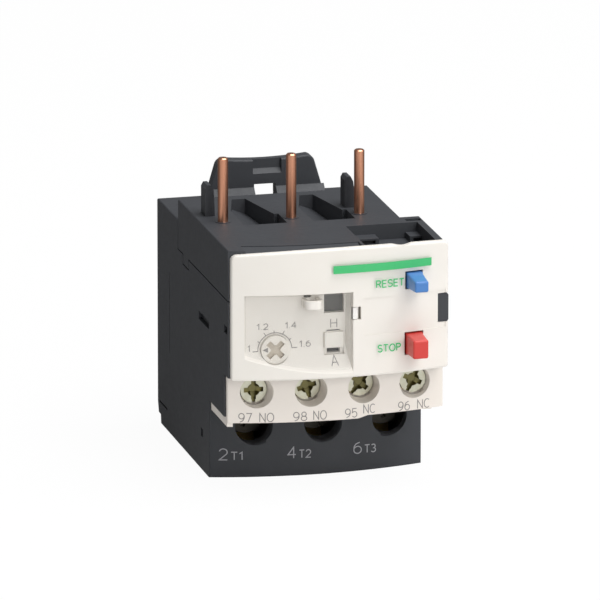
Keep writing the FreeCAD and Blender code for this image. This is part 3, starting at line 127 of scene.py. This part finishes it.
class Finish:
    """One material: its node tree and the shader that its patterns feed."""

    def __init__(self, name, **plain):
        self.material = bpy.data.materials.new(name)
        self.material.use_nodes = True
        self.tree = self.material.node_tree
        self.shader = self.tree.nodes["Principled BSDF"]
        for socket, value in plain.items():
            self.shader.inputs[socket.replace("_", " ")].default_value = value
        self.place = self.node("ShaderNodeTexCoord", output="Object")

    def node(self, kind, settings=None, inputs=None, output=0):
        """A new node with its settings and inputs, as the value of one of its outputs."""
        made = self.tree.nodes.new(kind)
        for key, value in (settings or {}).items():
            setattr(made, key, value)
        for key, value in (inputs or {}).items():
            if isinstance(value, Value):
                self.tree.links.new(value.socket, made.inputs[key])
            else:
                made.inputs[key].default_value = value
        return Value(self, made.outputs[output])

    def noise(self, scale, detail=3.0, stretch=(1, 1, 1), output=0):
        """Noise on the object's own coordinates, scale in features per metre, stretched per axis."""
        spread = self.node("ShaderNodeMapping", None, {"Vector": self.place, "Scale": stretch})
        return self.node("ShaderNodeTexNoise", None,
                         {"Vector": spread, "Scale": scale, "Detail": detail}, output)

    def blend(self, factor, low, high):
        """A colour between low and high."""
        return self.node("ShaderNodeMix", {"data_type": "RGBA"}, {"Factor": factor, 6: low, 7: high},
                         output=2)

    def feed(self, socket, value):
        """Lead a value into a socket of the shader."""
        self.tree.links.new(value.socket, self.shader.inputs[socket])

    def bump(self, height, distance, strength=1.0):
        """Surface relief from a height between 0 and 1, distance metres deep."""
        relief = self.node("ShaderNodeBump", None,
                           {"Height": height, "Distance": distance, "Strength": strength})
        self.feed("Normal", relief)

    def onto(self, *nodes):
        """Give this material to CAD nodes or meshes."""
        for node in nodes:
            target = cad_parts[node] if isinstance(node, str) else node
            target.data.materials.clear()
            target.data.materials.append(self.material)


def tone(red, green, blue):
    """A colour from its 0 to 255 display values."""
    parts = np.array((red, green, blue)) / 255
    linear = np.where(parts <= 0.04045, parts / 12.92, ((parts + 0.055) / 1.055) ** 2.4)
    return (*linear.tolist(), 1.0)


half = 3.0
floor_mesh = bpy.data.meshes.new("floor")
floor_mesh.from_pydata([(-half, -half, 0), (half, -half, 0), (half, half, 0), (-half, half, 0)], [],
                       [(0, 1, 2, 3)])
floor = bpy.data.objects.new("floor", floor_mesh)
bpy.context.scene.collection.objects.link(floor)

# The floor glows for the camera, so it is pure white there. For mirrored rays it glows in front of
# the relay and hardly at all behind it, so the left side stays dark and the copper stays bright.
sweep = Finish("sweep", Base_Color=(0.86, 0.86, 0.86, 1), Roughness=0.9)
sweep.shader.inputs["Specular IOR Level"].default_value = 0.1
seen = sweep.node("ShaderNodeLightPath", output="Is Camera Ray")
glossy = sweep.node("ShaderNodeLightPath", output="Is Glossy Ray")
through = sweep.node("ShaderNodeLightPath", output="Is Transmission Ray")
floor_depth = sweep.node("ShaderNodeSeparateXYZ", None, {0: sweep.place}, output=1)
mirrored = sweep.node("ShaderNodeMapRange", None, {"Value": floor_depth, "From Min": 0.05, "From Max": -0.2,
                                                   "To Min": 0.12, "To Max": 0.95})
glow = sweep.node("ShaderNodeEmission", None, {"Strength": seen + through + glossy * mirrored})
share = sweep.node("ShaderNodeMath", {"operation": "MINIMUM"}, {0: seen + glossy + through, 1: 1.0}) * 0.95
lit = Value(sweep, sweep.shader.outputs[0])
mixer = sweep.node("ShaderNodeMixShader", None, {"Fac": share, 1: lit, 2: glow})
sweep.tree.links.new(mixer.socket, sweep.tree.nodes["Material Output"].inputs["Surface"])
sweep.onto(floor)


# Case
# The lower case and the upper case are moulded in dark grey nylon with a fine spark-eroded skin.
# They meet at a plain seam, and the mouldings carry all the inner parts.
case_grey = tone(57, 59, 63)
case_grey_worn = tone(63, 65, 69)


def moulded(name, colour, other, roughness, grain_scale, grain_depth):
    """A moulded plastic: its colour drifts a little, and its skin has a fine grain."""
    plastic = Finish(name, Roughness=roughness)
    drift = plastic.noise(220, 2)
    plastic.feed("Base Color", plastic.blend(drift, colour, other))
    sheen = plastic.noise(900, 4)
    plastic.feed("Roughness", sheen * 0.12 + (roughness - 0.06))
    plastic.bump(plastic.noise(grain_scale, 3), grain_depth)
    return plastic


case_plastic = moulded("case_plastic", case_grey, case_grey_worn, 0.52, 6500, 0.02 * MM)
case_plastic.shader.inputs["Specular IOR Level"].default_value = 0.36
case_plastic.onto("base_housing", "upper_housing")


# Marks on the lower front
# Each wire entry has its number printed below it in thin light grey ink, with the size mark beside it.
# The ink lies on the bowed front of the case as a film a few hundredths of a millimetre thick.
ink_film = 0.03
ink_root = 0.05
ink_step = 0.4
front_bow = 82.0


def arc(centre_u, centre_v, radius_u, radius_v, start, end):
    """Points on an ellipse round a centre, from one angle to another in degrees."""
    angle = np.radians(np.linspace(start, end, 25))
    return np.stack((centre_u + radius_u * np.cos(angle), centre_v + radius_v * np.sin(angle)), axis=1)


def path(*points):
    return np.array(points, dtype=float)


def run(*parts):
    """Curves and points joined end to end into one stroke."""
    return np.concatenate([np.atleast_2d(np.array(part, dtype=float)) for part in parts])


# Characters are strokes in a space one unit tall, with the width that each one needs, and are parted
# by a gap. The strokes are centre lines.
letter_gap = 0.24
word_gap = 0.42
characters = {
    "1": (0.34, [path((0, 0.78), (0.26, 1), (0.26, 0))]),
    "2": (0.62, [run(arc(0.31, 0.7, 0.3, 0.3, 165, -38), (0, 0), (0.62, 0))]),
    "3": (0.6, [run(arc(0.29, 0.76, 0.26, 0.24, 150, -80), arc(0.29, 0.27, 0.31, 0.27, 80, -150))]),
    "4": (0.66, [path((0.48, 0), (0.48, 1), (0, 0.32), (0.66, 0.32))]),
    "5": (0.62, [run((0.56, 1), (0.08, 1), (0.03, 0.53), arc(0.3, 0.32, 0.31, 0.32, 118, -145))]),
    "6": (0.62, [run((0.48, 0.99), arc(0.5, 0.42, 0.5, 0.57, 125, 180),
                     arc(0.31, 0.32, 0.31, 0.32, 165, 525))]),
    "7": (0.6, [path((0, 1), (0.6, 1), (0.2, 0))]),
    "8": (0.62, [arc(0.31, 0.75, 0.25, 0.25, 90, 450), arc(0.31, 0.26, 0.31, 0.26, 90, 450)]),
    "9": (0.62, [run((0.14, 0.01), arc(0.12, 0.58, 0.5, 0.57, -55, 0),
                     arc(0.31, 0.68, 0.31, 0.32, -15, 345))]),
    ".": (0.12, [path((0.06, 0), (0.06, 0.08))]),
    "A": (0.68, [path((0, 0), (0.34, 1), (0.68, 0)), path((0.12, 0.33), (0.56, 0.33))]),
    "C": (0.72, [arc(0.4, 0.5, 0.4, 0.5, 50, 310)]),
    "E": (0.56, [path((0.56, 1), (0, 1), (0, 0), (0.56, 0)), path((0, 0.52), (0.5, 0.52))]),
    "H": (0.64, [path((0, 0), (0, 1)), path((0.64, 0), (0.64, 1)), path((0, 0.52), (0.64, 0.52))]),
    "N": (0.68, [path((0, 0), (0, 1), (0.68, 0), (0.68, 1))]),
    "O": (0.82, [arc(0.41, 0.5, 0.41, 0.5, 90, 450)]),
    "P": (0.58, [run((0, 0), (0, 1), (0.32, 1), arc(0.32, 0.74, 0.26, 0.26, 90, -90), (0, 0.48))]),
    "R": (0.62, [run((0, 0), (0, 1), (0.32, 1), arc(0.32, 0.75, 0.25, 0.25, 90, -90), (0, 0.5)),
                 path((0.3, 0.5), (0.62, 0))]),
    "S": (0.6, [run(arc(0.3, 0.75, 0.28, 0.25, 30, 260), arc(0.3, 0.26, 0.3, 0.26, 80, -155))]),
    "T": (0.64, [path((0, 1), (0.64, 1)), path((0.32, 1), (0.32, 0))]),
}


def lettering(text, left, bottom, width, height):
    """The strokes of a text that fills a width and a height in millimetres."""
    advance = 0.0
    placed = []
    for letter in text:
        if letter == " ":
            advance += word_gap
            continue
        letter_width, strokes = characters[letter]
        placed += [stroke + (advance, 0) for stroke in strokes]
        advance += letter_width + letter_gap
    scale = np.array((width / (advance - letter_gap), height))
    return [stroke * scale + (left, bottom) for stroke in placed]


def bowed(front, middle=0.0):
    """The Y of a front that is bowed sideways: front + R - sqrt(R^2 - (x - middle)^2)."""
    return lambda u, v: front + front_bow - np.sqrt(front_bow ** 2 - (u - middle) ** 2)


def level(front):
    return lambda u, v: np.full_like(u, front)


def with_steps(stroke, step):
    """The same stroke with points no further apart than a step."""
    lengths = np.linalg.norm(np.diff(stroke, axis=0), axis=1)
    along = np.concatenate(((0.0,), np.cumsum(lengths)))
    keep = np.concatenate(((True,), lengths > 1e-6))
    more = np.arange(step, along[-1], step)
    places = np.unique(np.round(np.concatenate((along[keep], more)), 5))
    return np.stack([np.interp(places, along[keep], stroke[keep, axis]) for axis in (0, 1)], axis=1)


def ink(name, strokes, width, front, finish, body):
    """Strokes of ink on a front: each is a closed strip, its sides square to the way it runs.

    A point of the strip is the stroke's point plus or minus half a width along the mean normal of
    the runs that meet there, lengthened at a corner, and the strip is as deep as the film.
    """
    corners = []
    faces = []
    first = 0
    for stroke in strokes:
        line = with_steps(stroke, ink_step)
        closed = np.linalg.norm(line[0] - line[-1]) < 1e-4
        if closed:
            line = line[:-1]
        ahead = np.roll(line, -1, axis=0) - line
        if not closed:
            ahead[-1] = ahead[-2]
        ahead /= np.linalg.norm(ahead, axis=1)[:, None]
        behind = np.roll(ahead, 1, axis=0)
        if not closed:
            behind[0] = ahead[0]
        side = np.stack((-(ahead + behind)[:, 1], (ahead + behind)[:, 0]), axis=1)
        side /= np.maximum(np.linalg.norm(side, axis=1), 1e-6)[:, None]
        square = np.stack((-ahead[:, 1], ahead[:, 0]), axis=1)
        reach = 1 / np.maximum((side * square).sum(axis=1), 0.45)
        edge = side * (reach * width / 2)[:, None]
        count = len(line)
        rings = []
        for shift, depth in ((edge, -ink_film), (-edge, -ink_film), (-edge, ink_root), (edge, ink_root)):
            u, v = (line + shift).T
            rings.append(np.stack((u, front(u, v) + depth, v), axis=1))
        corners.append(np.stack(rings, axis=1).reshape(-1, 3))
        ring = np.arange(count if closed else count - 1)
        after = (ring + 1) % count
        for k in range(4):
            n = (k + 1) % 4
            faces.append(first + np.stack((ring * 4 + k, after * 4 + k, after * 4 + n, ring * 4 + n), axis=1))
        if not closed:
            last = (count - 1) * 4
            faces.append(first + np.array([(0, 1, 2, 3), (last + 3, last + 2, last + 1, last)]))
        first += count * 4
    mesh = bpy.data.meshes.new(name)
    mesh.from_pydata((np.concatenate(corners) * MM).tolist(), [], np.concatenate(faces).tolist())
    piece = bpy.data.objects.new(name, mesh)
    bpy.context.scene.collection.objects.link(piece)
    finish.onto(piece)
    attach(piece, body)
    return piece


def printed(name, colour, other, roughness=0.5):
    """Printing ink: a flat colour that varies a little with how thickly the pad left it."""
    film = Finish(name, Roughness=roughness)
    film.feed("Base Color", film.blend(film.noise(2500, 3), colour, other))
    return film


grey_ink = printed("grey_ink", tone(170, 170, 174), tone(150, 150, 154))
pole_pitch = 13.7
pole_mark_left = -20.6
number_height = 2.3
size_mark_height = 1.6
number_width = 1.6
size_mark_width = 2.3
size_mark_shift = 2.35
pole_mark_bottom = 3.75
lower_front = bowed(-12.75, -0.5)
pole_strokes = []
for pole, (number, size_mark) in enumerate((("2", "T1"), ("4", "T2"), ("6", "T3"))):
    left = pole_mark_left + pole_pitch * pole
    pole_strokes += lettering(number, left, pole_mark_bottom, number_width, number_height)
    pole_strokes += lettering(size_mark, left + size_mark_shift, pole_mark_bottom, size_mark_width,
                              size_mark_height)
ink("pole_marks", pole_strokes, 0.2, lower_front, grey_ink, "housing")


# Front cover
# The cover is moulded in warm white plastic with soft edges, and snaps over the front of the upper case.
# It has a green stripe near its top, and the names of the two buttons in green beside them.
cover_white = tone(228, 224, 217)
cover_white_other = tone(225, 220, 212)
cover_plastic = moulded("cover_plastic", cover_white, cover_white_other, 0.42, 4200, 0.006 * MM)
cover_plastic.onto("front_cover")
cover_front = bowed(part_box("front_cover")[0].y / MM)

green_ink = printed("green_ink", tone(55, 178, 105), tone(62, 186, 112), 0.4)
stripe_left = -2.1
stripe_right = 18.57
stripe_height = 47.25
stripe_width = 1.62
ink("green_stripe", [path((stripe_left, stripe_height), (stripe_right, stripe_height))], stripe_width,
    cover_front, green_ink, "housing")
word_height = 1.4
button_words = (lettering("RESET", 6.8, 43.0, 5.8, word_height)
                + lettering("STOP", 7.15, 29.7, 4.75, word_height))
ink("button_words", button_words, 0.23, cover_front, green_ink, "housing")


# Marks in the setting pocket
# The pocket's floor has the current scale round the dial in thin grey ink, from 1 to 1.6, and the
# letters of the two reset modes above and below their slider.
scale_ink = printed("scale_ink", tone(134, 130, 127), tone(148, 144, 141))
scale_x = -13.22
scale_height = 30.67
scale_radius = 3.5
scale_start = 181.5
scale_spacing = 29.75
scale_number_height = 1.15
tick_reach = (1.1, 0.5, 0.75, 0.45, 0.75, 0.5, 1.1)
scale_strokes = [arc(scale_x, scale_height, scale_radius, scale_radius, scale_start,
                     scale_start - scale_spacing * (len(tick_reach) - 1))]
for number, reach in enumerate(tick_reach):
    angle = math.radians(scale_start - scale_spacing * number)
    direction = np.array((math.cos(angle), math.sin(angle)))
    centre = np.array((scale_x, scale_height))
    scale_strokes.append(np.stack((centre + direction * scale_radius,
                                   centre + direction * (scale_radius + reach))))
for text, left, bottom, width in (("1", -18.7, 30.65, 0.35), ("1.2", -16.85, 34.96, 2.2),
                                  ("1.4", -11.04, 34.92, 2.2), ("1.6", -8.12, 30.94, 2.2)):
    scale_strokes += lettering(text, left, bottom, width, scale_number_height)
ramp_foot = (-30.52, 24.0)
ramp_head = (-27.02, 31.6)


def pocket_face(u, v):
    """The Y of the pocket's ramp and of the floor above it.

    It is foot + run * (1 - cos(pi t)) / 2, where t runs from 0 at the ramp's foot to 1 at its head.
    """
    t = np.clip((v - ramp_foot[1]) / (ramp_head[1] - ramp_foot[1]), 0, 1)
    return ramp_foot[0] + (ramp_head[0] - ramp_foot[0]) * (1 - np.cos(np.pi * t)) / 2


ink("scale_marks", scale_strokes, 0.16, pocket_face, scale_ink, "housing")
mode_letters = lettering("H", -1.75, 34.5, 1.25, 1.75) + lettering("A", -2.04, 27.15, 1.4, 1.87)
ink("mode_letters", mode_letters, 0.17, pocket_face, scale_ink, "housing")


# Terminal block
# The block that holds the four auxiliary terminals is moulded in a creamier white than the cover.
# The contact numbers are printed below the screws in thin grey ink.
block_plastic = moulded("block_plastic", tone(229, 222, 214), tone(225, 217, 208), 0.45, 4200, 0.006 * MM)
block_plastic.onto("terminal_block")
block_front = bowed(-26.45)
contact_mark_height = 1.78
contact_strokes = []
for mark, left, bottom, width in (("97", -19.9, 15.35, 2.5), ("NO", -15.8, 15.35, 2.75),
                                  ("98", -9.1, 15.35, 2.65), ("NO", -5.05, 15.45, 2.6),
                                  ("95", 1.45, 15.45, 2.4), ("NC", 5.25, 16.05, 2.4),
                                  ("96", 12.65, 15.85, 2.4), ("NC", 16.8, 15.85, 2.6)):
    contact_strokes += lettering(mark, left, bottom, width, contact_mark_height)
ink("contact_marks", contact_strokes, 0.18, block_front, scale_ink, "housing")


# Setting flap
# A clear flap closes the setting pocket. It is moulded in colourless polycarbonate with polished faces,
# so that it shows only where it is seen edge-on and where it mirrors a light. Its hinge is frosted.
hinge_left = 2.1
least_alpha = 0.04
clear_plastic = Finish("clear_plastic", Roughness=0.05)
clear_plastic.feed("Base Color", clear_plastic.blend(clear_plastic.noise(300, 2), tone(228, 226, 222),
                                                     tone(234, 232, 228)))
edge_on = clear_plastic.node("ShaderNodeLayerWeight", None, {"Blend": 0.25}, output=1)
flap_place = clear_plastic.node("ShaderNodeSeparateXYZ", None, {0: clear_plastic.place})
frosted = (flap_place > hinge_left * MM) * 0.95
clear_plastic.feed("Alpha", edge_on * 0.5 + frosted + least_alpha)
clear_plastic.onto("setting_flap")


# Dial and mode slider
# Both are moulded in off-white plastic. The dial's cross recess is painted a darker beige as painted shade,
# and the dial has a printed pointer beside it. The slider's stem, where it shows above the cap, is painted
# dark grey as painted shade in its slot.
dial_x = -13.26
dial_height = 30.83
dial_face = -27.85
dial_recess_radius = 2.4
dial_plastic = moulded("dial_plastic", tone(226, 222, 214), tone(221, 216, 207), 0.4, 4200, 0.006 * MM)
dial_place = dial_plastic.node("ShaderNodeSeparateXYZ", None, {0: dial_plastic.place})
dial_depth = dial_plastic.node("ShaderNodeSeparateXYZ", None, {0: dial_plastic.place}, output=1)
dial_up = dial_plastic.node("ShaderNodeSeparateXYZ", None, {0: dial_plastic.place}, output=2)
from_axis_x = dial_place - dial_x * MM
from_axis_z = dial_up - dial_height * MM
near_axis = (dial_recess_radius * MM) ** 2 - (from_axis_x * from_axis_x + from_axis_z * from_axis_z)
# The cross recess is painted a darker beige: painted shade in the recess.
recess_painted_shade = (dial_depth > (dial_face + 0.1) * MM) * (near_axis > 0.0)
dial_plastic.feed("Base Color", dial_plastic.blend(recess_painted_shade, tone(226, 221, 212), tone(196, 186, 170)))
dial_plastic.onto("setting_dial")

stem_front = -27.01
slider_plastic = moulded("slider_plastic", tone(228, 224, 217), tone(223, 218, 209), 0.4, 4200, 0.006 * MM)
slider_depth = slider_plastic.node("ShaderNodeSeparateXYZ", None, {0: slider_plastic.place}, output=1)
# Behind the cap the stem is painted dark grey: painted shade in the slot.
slider_plastic.feed("Base Color", slider_plastic.blend(slider_depth > stem_front * MM, tone(228, 224, 216),
                                                       tone(100, 98, 108)))
slider_plastic.onto("mode_slider")

pointer_tip = -15.93
pointer_length = 1.1
pointer_half_height = 0.5
pointer_middle = 30.91
pointer_strokes = []
for share_of_length in np.linspace(0.08, 0.95, 9):
    column = pointer_tip + pointer_length * share_of_length
    rise = pointer_half_height * share_of_length
    pointer_strokes.append(path((column, pointer_middle - rise), (column, pointer_middle + rise)))
ink("dial_pointer", pointer_strokes, 0.13, level(dial_face), scale_ink, "dial")


# Buttons
# The reset button is blue and the stop button is red, both moulded in coloured plastic with soft edges.
blue_plastic = moulded("blue_plastic", tone(70, 125, 190), tone(64, 118, 184), 0.36, 4200, 0.006 * MM)
blue_plastic.onto("reset_button")
red_plastic = moulded("red_plastic", tone(206, 60, 52), tone(201, 54, 48), 0.36, 4200, 0.006 * MM)
red_plastic.onto("stop_button")


# Screws and clamp washers
# The terminal screws and their square washers are steel with a yellowish zinc plate, turned and stamped.
# Everywhere but on the faces of the heads the plate is painted dark olive, as painted shade.
zinc = Finish("zinc", Metallic=1.0, Roughness=0.33)
zinc_skin = zinc.blend(zinc.noise(700, 4), tone(236, 236, 222), tone(206, 202, 172))
head_face = -22.6
bright_depth = 0.08
zinc_depth = zinc.node("ShaderNodeSeparateXYZ", None, {0: zinc.place}, output=1)
# Behind the faces of the heads the zinc is painted dark olive: painted shade in the wells.
painted_shade_behind_face = zinc_depth > (head_face + bright_depth) * MM
zinc.feed("Base Color", zinc.blend(painted_shade_behind_face, zinc_skin, tone(128, 122, 84)))
zinc.feed("Roughness", zinc.noise(3000, 3) * 0.2 + 0.22)
zinc.bump(zinc.noise(5000, 3), 0.01 * MM)
zinc.onto(*[f"terminal_screw_{i}" for i in (1, 2, 3, 4)], *[f"terminal_washer_{i}" for i in (1, 2, 3, 4)])

# The power screws lie deep in the case; their steel is painted nearly black as painted shade in the deep
# wells.
steel_painted_shade = Finish("steel_painted_shade", Metallic=1.0, Roughness=0.42)
steel_painted_shade.feed("Base Color", steel_painted_shade.blend(steel_painted_shade.noise(700, 4), tone(88, 85, 78),
                                                 tone(70, 67, 62)))
steel_painted_shade.bump(steel_painted_shade.noise(5000, 3), 0.01 * MM)
steel_painted_shade.onto(*[f"power_screw_{i}" for i in (1, 2, 3)], *[f"power_washer_{i}" for i in (1, 2, 3)])


# Contactor pins
# Three round pins of bare drawn copper stand on the top, chamfered at the tip. Where each leaves the
# case, its foot is painted the case's dark grey as painted shade in the hole round it.
foot_top = 51.33
copper = Finish("copper", Roughness=0.3)
copper_drift = copper.blend(copper.noise(500, 4, (1, 1, 0.2)), tone(228, 168, 138), tone(206, 144, 114))
# Below foot_top the pin is painted case grey, not metal: painted shade at the hole.
above_shaded_foot = copper.node("ShaderNodeSeparateXYZ", None, {0: copper.place}, output=2) > foot_top * MM
copper.feed("Base Color", copper.blend(above_shaded_foot, case_grey, copper_drift))
copper.feed("Metallic", above_shaded_foot)
copper.feed("Roughness", copper.noise(9000, 3, (1, 1, 0.04)) * 0.22 + 0.2)
copper.bump(copper.noise(9000, 3, (1, 1, 0.04)), 0.01 * MM)
copper.onto(*[f"power_pin_{i}" for i in (1, 2, 3)])


# Current path and contacts inside
# The power terminals are plated copper bars, and the contact strips and bridges are stamped brass.
brass = Finish("brass", Metallic=1.0, Roughness=0.35)
brass.feed("Base Color", brass.blend(brass.noise(600, 4), tone(214, 186, 120), tone(198, 168, 104)))
brass.bump(brass.noise(6000, 3), 0.008 * MM)
brass.onto(*[f"power_terminal_{i}" for i in (1, 2, 3)], *[f"contact_strip_{i}" for i in (95, 96, 97, 98)],
           "open_bridge", "closed_bridge")


# Bimetals, sleeves and heater windings
# Each pole has a rolled bimetal strip in a woven glass sleeve with resistance wire wound round it.
rolled = Finish("rolled", Metallic=1.0, Roughness=0.38)
rolled.feed("Base Color", rolled.blend(rolled.noise(2000, 3, (1, 1, 0.05)), tone(186, 182, 172),
                                       tone(168, 164, 154)))
rolled.bump(rolled.noise(8000, 2, (1, 1, 0.05)), 0.008 * MM)
rolled.onto(*[f"bimetal_{i}" for i in (1, 2, 3)], "compensating_strip")
glass_cloth = Finish("glass_cloth", Roughness=0.85)
glass_cloth.feed("Base Color", glass_cloth.blend(glass_cloth.noise(3000, 3), tone(214, 206, 188),
                                                 tone(196, 188, 168)))
glass_cloth.bump(glass_cloth.noise(5000, 2), 0.05 * MM)
glass_cloth.onto(*[f"insulation_sleeve_{i}" for i in (1, 2, 3)])
resistance_wire = Finish("resistance_wire", Metallic=1.0, Roughness=0.42)
resistance_wire.feed("Base Color", resistance_wire.blend(resistance_wire.noise(1500, 3), tone(150, 144, 140),
                                                         tone(120, 112, 110)))
resistance_wire.onto(*[f"heater_winding_{i}" for i in (1, 2, 3)])


# Springs
# The button springs and the carrier spring are drawn steel wire.
spring_wire = Finish("spring_wire", Metallic=1.0, Roughness=0.28)
spring_wire.feed("Base Color", spring_wire.blend(spring_wire.noise(2500, 3), tone(190, 190, 190),
                                                 tone(170, 170, 172)))
spring_wire.onto("reset_spring", "stop_spring", "carrier_spring", "release_lever_pin", "trip_lever_pin")


# Mechanism
# The slide bars, levers, cam and contact carrier are moulded in natural nylon. The trip lever is painted
# dark grey as painted shade, because its plate shows behind the window until the orange flag swings there.
nylon = moulded("nylon", tone(206, 198, 178), tone(198, 189, 167), 0.5, 4200, 0.01 * MM)
nylon.onto("slide_bar_front", "slide_bar_rear", "differential_lever", "release_lever",
           "contact_carrier", "setting_cam")
# The trip lever is painted dark grey: painted shade seen through the window.
nylon_painted_shade = moulded("nylon_painted_shade", tone(74, 74, 70), tone(66, 66, 63), 0.5, 4200, 0.01 * MM)
nylon_painted_shade.onto("trip_lever")
flag_plastic = moulded("flag_plastic", tone(236, 150, 60), tone(228, 140, 52), 0.45, 4200, 0.006 * MM)
flag_plastic.onto("trip_flag")
